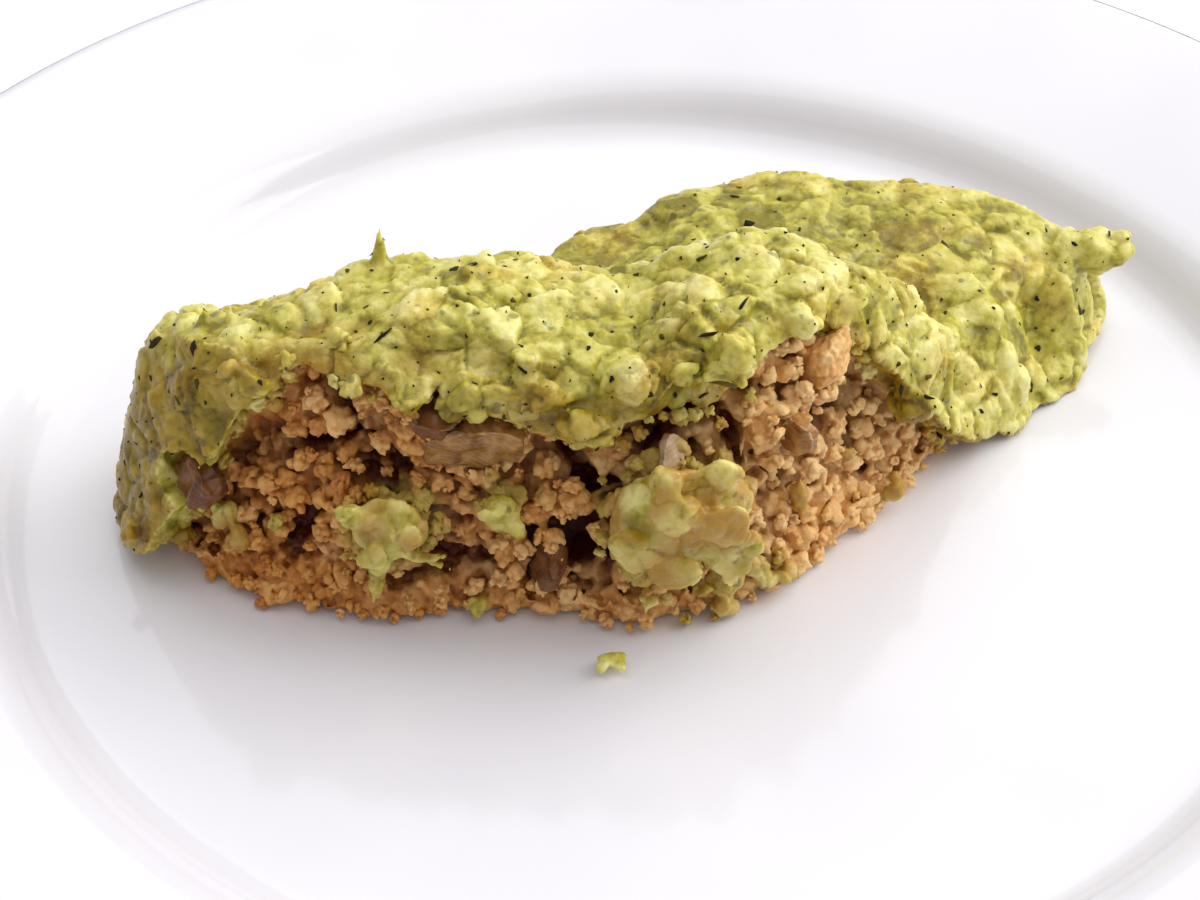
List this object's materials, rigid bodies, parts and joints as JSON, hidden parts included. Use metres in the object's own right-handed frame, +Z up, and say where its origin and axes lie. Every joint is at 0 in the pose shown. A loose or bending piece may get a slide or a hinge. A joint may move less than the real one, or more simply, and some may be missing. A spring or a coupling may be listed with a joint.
{
  "type": "shepherds pie serving on a plate",
  "caption": "A serving of vegetarian shepherd's pie, soya mince under a thick green herb mash, cut side showing, in the well of a plain white dinner plate.",
  "frame": {"origin": "centre of the plate's foot, on the table", "axes": "+Z up, -Y towards the serving's long cut side where the mince shows, +X to the right of a diner who faces that side"},
  "size_m": [0.27, 0.27, 0.0542],
  "materials": {
    "porcelain": "plain white gloss glaze",
    "soya_mince": null,
    "green_mash": null,
    "soft_onion": null
  },
  "bodies": {
    "root": {"plate": "porcelain", "mince_filling": "soya_mince", "mash_topping": "green_mash", "mash_dab_front": "green_mash", "mash_smear_left": "green_mash", "mash_smear_middle": "green_mash", "mash_crumb": "green_mash", "onion_left": "soft_onion", "onion_middle": "soft_onion", "onion_high": "soft_onion", "onion_in_hem": "soft_onion", "onion_low": "soft_onion", "onion_right": "soft_onion", "onion_pale": "soft_onion", "soya_chunk": "soya_mince"}
  },
  "joints": []
}
